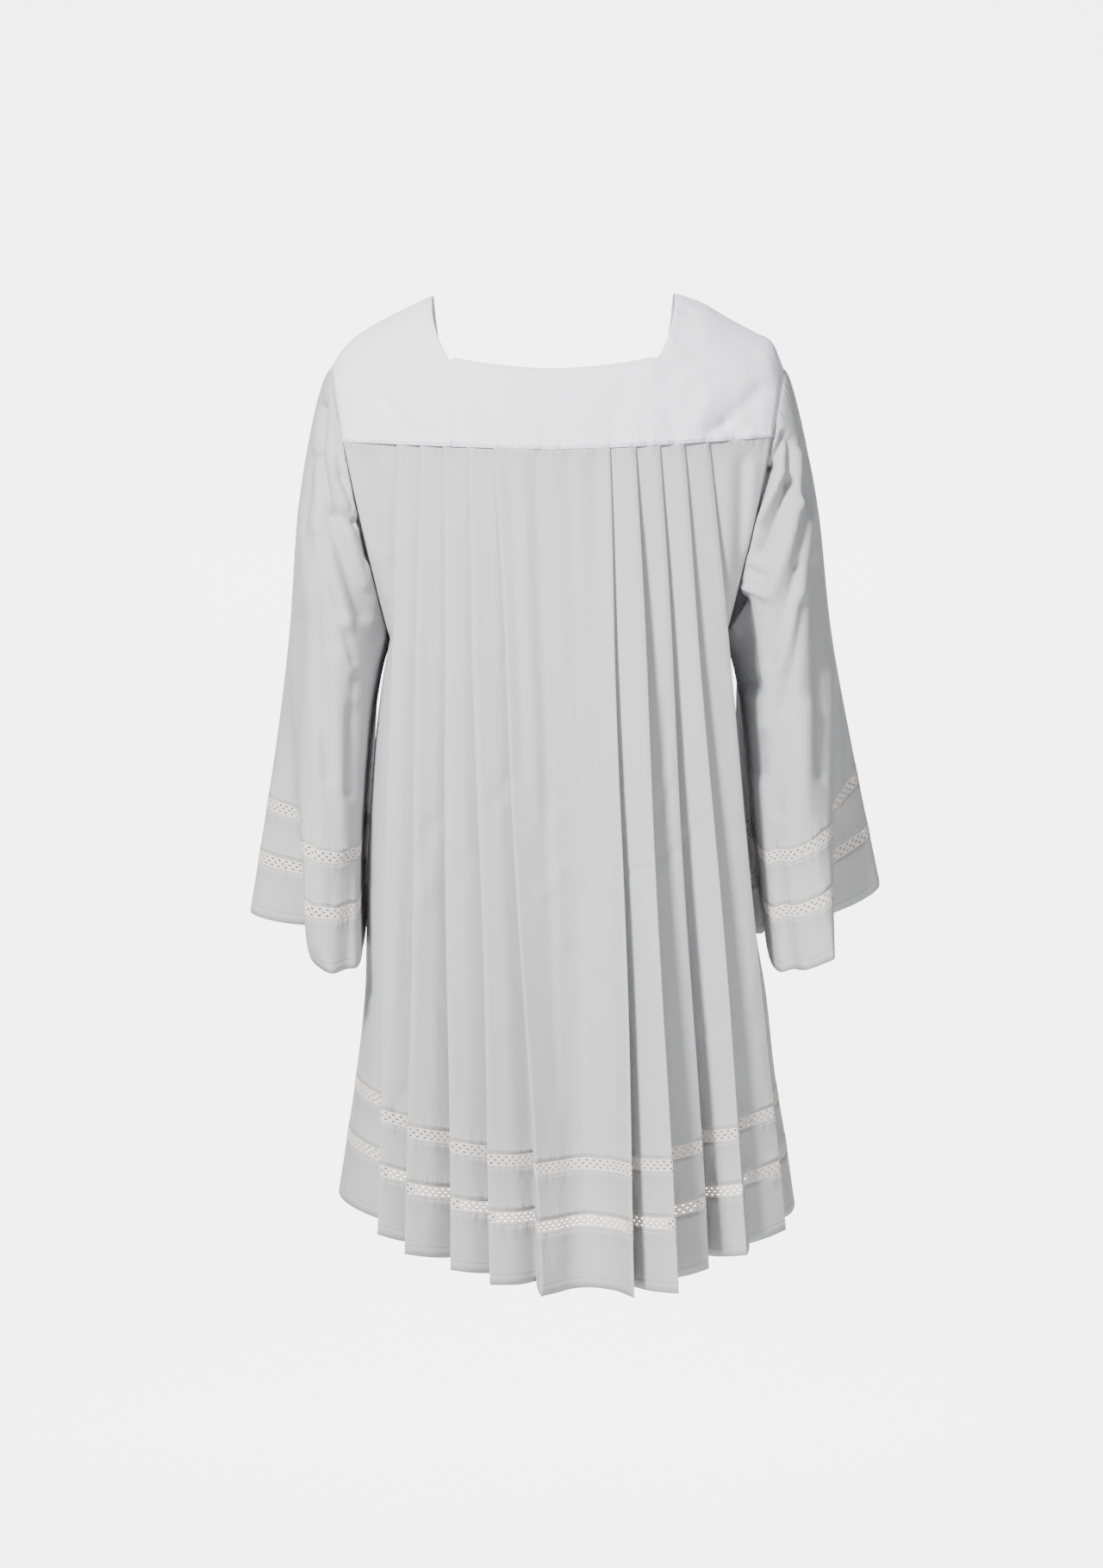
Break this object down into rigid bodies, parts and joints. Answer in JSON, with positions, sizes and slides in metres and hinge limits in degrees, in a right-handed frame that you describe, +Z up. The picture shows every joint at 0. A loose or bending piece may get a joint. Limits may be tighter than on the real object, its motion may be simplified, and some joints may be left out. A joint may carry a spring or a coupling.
{
  "type": "surplice",
  "caption": "Knee-length pleated over-garment with a square yoke, wide sleeves and two openwork insertions round hem and cuffs.",
  "frame": {"origin": "middle of the garment, level with the top of the yoke on the shoulders, in the plane of the side seams", "axes": "+Z up, -Y out of the garment's back, +X to the wearer's right"},
  "size_m": [0.6992, 0.5307, 1.0457],
  "materials": {
    "yoke_cloth": "matt white cloth, double",
    "cloth": "matt white cloth",
    "lace": "matt white openwork"
  },
  "bodies": {
    "root": {"yoke_back": "yoke_cloth", "skirt_back": "cloth", "skirt_back_lace_upper": "lace", "skirt_back_band": "cloth", "skirt_back_lace_lower": "lace", "skirt_back_hem": "cloth", "yoke_front": "yoke_cloth", "skirt_front": "cloth", "skirt_front_lace_upper": "lace", "skirt_front_band": "cloth", "skirt_front_lace_lower": "lace", "skirt_front_hem": "cloth", "sleeve_left": "cloth", "sleeve_left_lace_upper": "lace", "sleeve_left_band": "cloth", "sleeve_left_lace_lower": "lace", "sleeve_left_hem": "cloth", "sleeve_right": "cloth", "sleeve_right_lace_upper": "lace", "sleeve_right_band": "cloth", "sleeve_right_lace_lower": "lace", "sleeve_right_hem": "cloth"}
  },
  "joints": []
}
